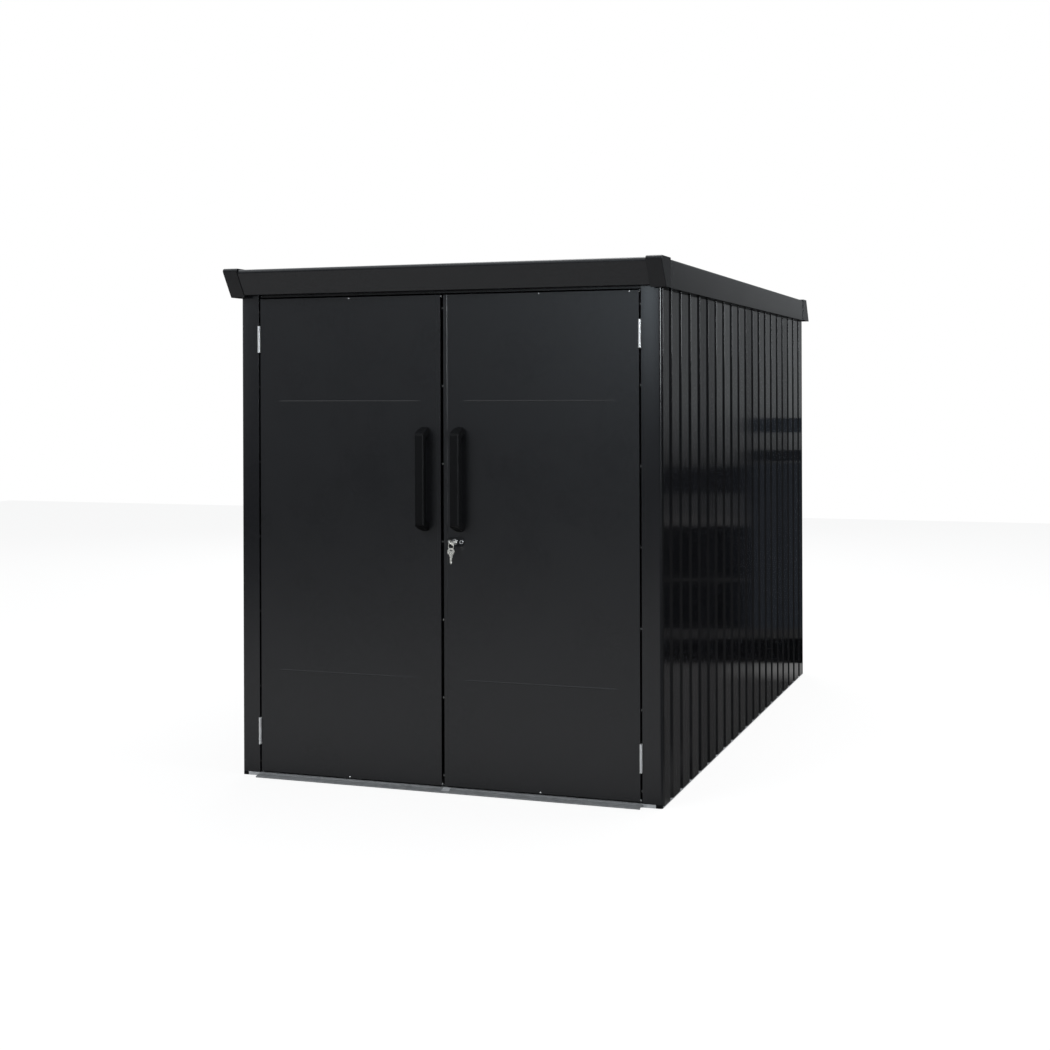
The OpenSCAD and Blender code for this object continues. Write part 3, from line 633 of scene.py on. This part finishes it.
def heads(name, profile, sides):
    """A tree that stands a turned head on each point of a mesh, its axis along the point's facing.
    The profile goes from the foot over the rim to the top, and gives five shares for each ring: of
    the radius, the height, the hexagon, the recess all round, and the recess on every fourth side."""
    flat_depth, ring_end, weld, quarter_turn = 0.134, 0.001, 0.00001, 1.57
    nodes, tree, given = group(name, {"Radius": "Float", "Height": "Float", "Recess": "Float",
                                      "Hexagon": "Float", "Seed": "Int", "Finish": "Material"})
    index = tree.node("GeometryNodeInputIndex")
    ring = index.math("FLOOR", index * (1 / (sides + 1)) + ring_end)
    side = index - ring * (sides + 1)
    radii, heights, hexagons, dips, arms = zip(*profile)
    flat = side.math("MODULO", side, 2)
    radius = given.other("Radius") * choose(tree, ring, radii)
    radius = radius * (1 - given.other("Hexagon") * flat_depth * flat * choose(tree, ring, hexagons))
    arm = side.math("LESS_THAN", side.math("MODULO", side, 4), 0.5)
    dip = choose(tree, ring, dips) + choose(tree, ring, arms) * arm
    rise = given.other("Height") * choose(tree, ring, heights) - given.other("Recess") * dip
    angle = side * (-2 * math.pi / sides)
    spot = tree.node("ShaderNodeCombineXYZ", {}, {
        "X": radius * angle.math("COSINE", angle), "Y": radius * angle.math("SINE", angle), "Z": rise})
    head = tree.node("GeometryNodeMeshGrid", {}, {"Vertices X": len(profile), "Vertices Y": sides + 1})
    head = tree.node("GeometryNodeSetPosition", {}, {"Geometry": head, "Position": spot})
    head = tree.node("GeometryNodeMergeByDistance", {}, {"Geometry": head, "Distance": weld})
    facing = tree.node("GeometryNodeInputNamedAttribute", {"data_type": "FLOAT_VECTOR"}, {"Name": "facing"})
    stand = tree.node("FunctionNodeAlignRotationToVector", {"axis": "Z"}, {"Vector": facing})
    spin = tree.node("FunctionNodeRandomValue", {"data_type": "FLOAT"},
                     {"Min": 0.0, "Max": quarter_turn, "Seed": given.other("Seed")}, 1)
    spin = tree.node("FunctionNodeAxisAngleToRotation", {}, {"Axis": (0, 0, 1), "Angle": spin})
    stand = tree.node("FunctionNodeRotateRotation", {"rotation_space": "LOCAL"},
                      {"Rotation": stand, "Rotate By": spin})
    stood = tree.node("GeometryNodeInstanceOnPoints", {}, {"Points": given, "Instance": head,
                                                           "Rotation": stand})
    finished(tree, stood, given.other("Finish"))
    return nodes


def fasten(name, nodes, body, finish, values, points):
    """Heads at the points, given as pairs of place and facing."""
    spots = bpy.data.meshes.new(name)
    spots.from_pydata([place for place, facing in points], [], [])
    facings = spots.attributes.new("facing", "FLOAT_VECTOR", "POINT")
    for item, (place, facing) in zip(facings.data, points):
        item.vector = facing
    piece = grown(name, nodes, {"Recess": 0.0, "Hexagon": 0.0, "Seed": 1, **values}, finish, spots)
    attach(piece, body)


blind_rivet = heads("blind_rivet", [
    (0, -0.3, 0, 0, 0), (1, -0.3, 0, 0, 0), (1, 0.25, 0, 0, 0), (0.9, 0.62, 0, 0, 0), (0.7, 0.88, 0, 0, 0),
    (0.42, 1, 0, 0, 0), (0.34, 1, 0, 1, 0), (0.24, 1, 0, 1, 0), (0.12, 1, 0, 0.4, 0), (0, 1, 0, 0.4, 0)], 12)
cross_screw = heads("cross_screw", [
    (0, -0.6, 0, 0, 0), (1, -0.6, 0, 0, 0), (1, 0.4, 0, 0, 0), (0.9, 0.85, 0, 0, 0), (0.62, 1, 0, 0, 0),
    (0.56, 1, 0, 0, 0.8), (0.34, 1, 0, 0, 1), (0.2, 1, 0, 0.6, 0.4), (0, 1, 0, 1, 0)], 16)
left_low, left_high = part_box("left_door_skin")
right_low, right_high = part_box("right_door_skin")
rivet_size = {"Radius": 0.003, "Height": 0.0018, "Recess": 0.0009}
pin_size = {"Radius": 0.0021, "Height": 0.0012, "Recess": 0.0005}
rivet_in, rivet_step, rivet_start, rivets = 0.0158, 0.2165, 0.0245, 7
stud_in, stud_x, stud_edge = 0.005, 0.026, 0.0028
stud_z = [left_low.z + stud_edge, left_high.z - stud_edge]
for side, inner, outer in [("left", left_high.x, left_low.x), ("right", right_low.x, right_high.x)]:
    way = 1 if side == "left" else -1
    folds = [(inner, way), (outer, -way)]
    edges = [((x, front_y + rivet_in, left_low.z + rivet_start + rivet_step * k), (facing, 0, 0))
             for k in range(rivets) for x, facing in folds]
    edges += [((x, front_y + stud_in, z), (facing, 0, 0)) for z in stud_z for x, facing in folds]
    fasten(side + "_door_rivets", blind_rivet, side + "_door", aluminium, rivet_size, edges)
    studs = [(((inner + outer) / 2, front_y, z), (0, -1, 0)) for z in stud_z]
    if side == "right":
        studs += [((outer + way * stud_x, front_y, stud_z[1]), (0, -1, 0))]
    fasten(side + "_door_studs", blind_rivet, side + "_door", aluminium, pin_size, studs)

jamb_gap, hinge_t = 0.006, 0.0018
jamb_x, jamb_z = right_high.x + jamb_gap, [0.03, 0.30, 0.69, 1.08, stud_z[1]]
fasten("jamb_rivets", blind_rivet, "shed", aluminium, rivet_size, [
    ((way * jamb_x, front_y + rivet_in, z), (-way, 0, 0)) for way in [-1, 1] for z in jamb_z])
rail_y, rail_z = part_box("head_rail")[0].y, left_high.z + 0.009
rail_x = [left_low.x - 0.002, left_low.x + 0.16]
fasten("head_rail_studs", blind_rivet, "shed", semi_gloss, rivet_size,
       [((x, rail_y, rail_z), (0, -1, 0)) for x in rail_x])

hinge_in, hinge_screws = 0.1155, [(0.0125, -0.0265), (0.0080, 0.0), (0.0125, 0.0265)]
hinge_z = [left_low.z + hinge_in, left_high.z - hinge_in]
screw_size = {"Radius": 0.0028, "Height": 0.0005, "Recess": 0.0004}
for way, side in [(-1, "left"), (1, "right")]:
    spots = [(front_y + depth, z + rise) for z in hinge_z for depth, rise in hinge_screws]
    fasten(side + "_frame_hinge_screws", cross_screw, "shed", zinc, screw_size,
           [((way * (jamb_x - hinge_t), y, z), (-way, 0, 0)) for y, z in spots])
    fasten(side + "_door_hinge_screws", cross_screw, side + "_door", zinc, screw_size,
           [((way * (jamb_x - jamb_gap + hinge_t), y, z), (way, 0, 0)) for y, z in spots])

plate_low, plate_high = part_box("lock_plate")
plate_x, plate_z = (plate_low.x + plate_high.x) / 2, (plate_low.z + plate_high.z) / 2
eyelet_size, eyelet_out = {"Radius": 0.0052, "Height": 0.0012}, 0.0175
eyelet = heads("eyelet", [
    (0.72, -0.3, 0, 0, 0), (1, -0.3, 0, 0, 0), (1, 0.3, 0, 0, 0), (0.95, 0.8, 0, 0, 0), (0.86, 1, 0, 0, 0),
    (0.77, 0.8, 0, 0, 0), (0.72, 0.3, 0, 0, 0), (0.72, -0.3, 0, 0, 0)], 20)
fasten("lock_plate_rivets", eyelet, "right_door", zinc, eyelet_size,
       [((plate_x + way * eyelet_out, plate_low.y, plate_z), (0, -1, 0)) for way in [-1, 1]])

# ---------------------------------------------------------------------------
# Door keep: a small folded plate of galvanised steel over the sill's
# groove, where the right door closes.
# ---------------------------------------------------------------------------
sill_top, keep_t, keep_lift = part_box("door_sill")[1].z, 0.0009, 0.001
keep_left, keep_right = 0.002, 0.024
keep_path = [(-0.0210, 0.0046), (-0.0102, 0.0073), (-0.0046, sill_top), (-0.0008, sill_top)]
door_keep = folded_sheet("door_keep", [(0, front_y + y, z + keep_lift) for y, z in keep_path],
                         keep_left, keep_right, keep_t, galvanised)
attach(door_keep, "shed")

# ---------------------------------------------------------------------------
# Roofing screws: zinc-plated hexagon heads on washers, through the roof
# deck's ribs into the beams.
# ---------------------------------------------------------------------------
roof_screw = heads("roofing_screw", [
    (0, -0.1, 0, 0, 0), (1, -0.1, 0, 0, 0), (1, 0.14, 0, 0, 0), (0.94, 0.2, 0, 0, 0), (0.66, 0.26, 0, 0, 0),
    (0.58, 0.3, 1, 0, 0), (0.58, 0.9, 1, 0, 0), (0.5, 1, 1, 0, 0), (0.3, 1, 0, 0, 0), (0, 1, 0, 0, 0)], 12)
deck_low, deck_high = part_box("roof_deck")
roof_screw_size = {"Radius": 0.0075, "Height": 0.0048, "Hexagon": 1.0}
deck_angle, deck_ribs, beams = 0.6, 9, 3
deck_fall = math.tan(math.radians(deck_angle))
beam_y = [front_y + shed_d * (1 - (j + 1) / (beams + 1)) for j in range(beams)]
fasten("roofing_screws", roof_screw, "shed", zinc, roof_screw_size,
       [((deck_high.x * ((2 * i + 1) / deck_ribs - 1), y, deck_high.z - (y - deck_low.y) * deck_fall),
         (0, deck_fall, 1)) for i in range(deck_ribs) for y in beam_y])

# ---------------------------------------------------------------------------
# Pulls and lock: a moulded plastic pull on each door, fixed from behind. Under
# the right one an oval plastic plate holds the lock's chrome-plated barrel,
# which turns a zinc-plated cam behind it.
# ---------------------------------------------------------------------------
chrome, tree = material("chrome")
scratches = noise(tree, object_place(tree), 900.0, stretch=(1, 1, 0.2))
close(tree, {"Base Color": (0.8, 0.8, 0.8, 1), "Metallic": 1.0, "Roughness": 0.08 + 0.1 * scratches})
for side in ["left", "right"]:
    rounded(side + "_door_handle", plastic, edge=0.0008, steps=3)
rounded("lock_plate", cap_plastic, edge=0.0006, steps=3)
rounded("lock_barrel", chrome, edge=0.0005, steps=3)
paint_node("lock_cam", zinc)

# ---------------------------------------------------------------------------
# Keys: stamped from brass and nickel-plated. One stands in the lock, and the
# spare hangs from its bow on a split ring.
# ---------------------------------------------------------------------------
nickel, tree = material("nickel")
streaks = noise(tree, object_place(tree), 500.0)
close(tree, {"Base Color": blend(tree, streaks, (0.78, 0.76, 0.70), (0.90, 0.89, 0.84)),
             "Metallic": 0.8, "Roughness": 0.2 + 0.15 * streaks})
for node in ["door_key", "key_ring", "spare_key"]:
    rounded(node, nickel, edge=0.0002)
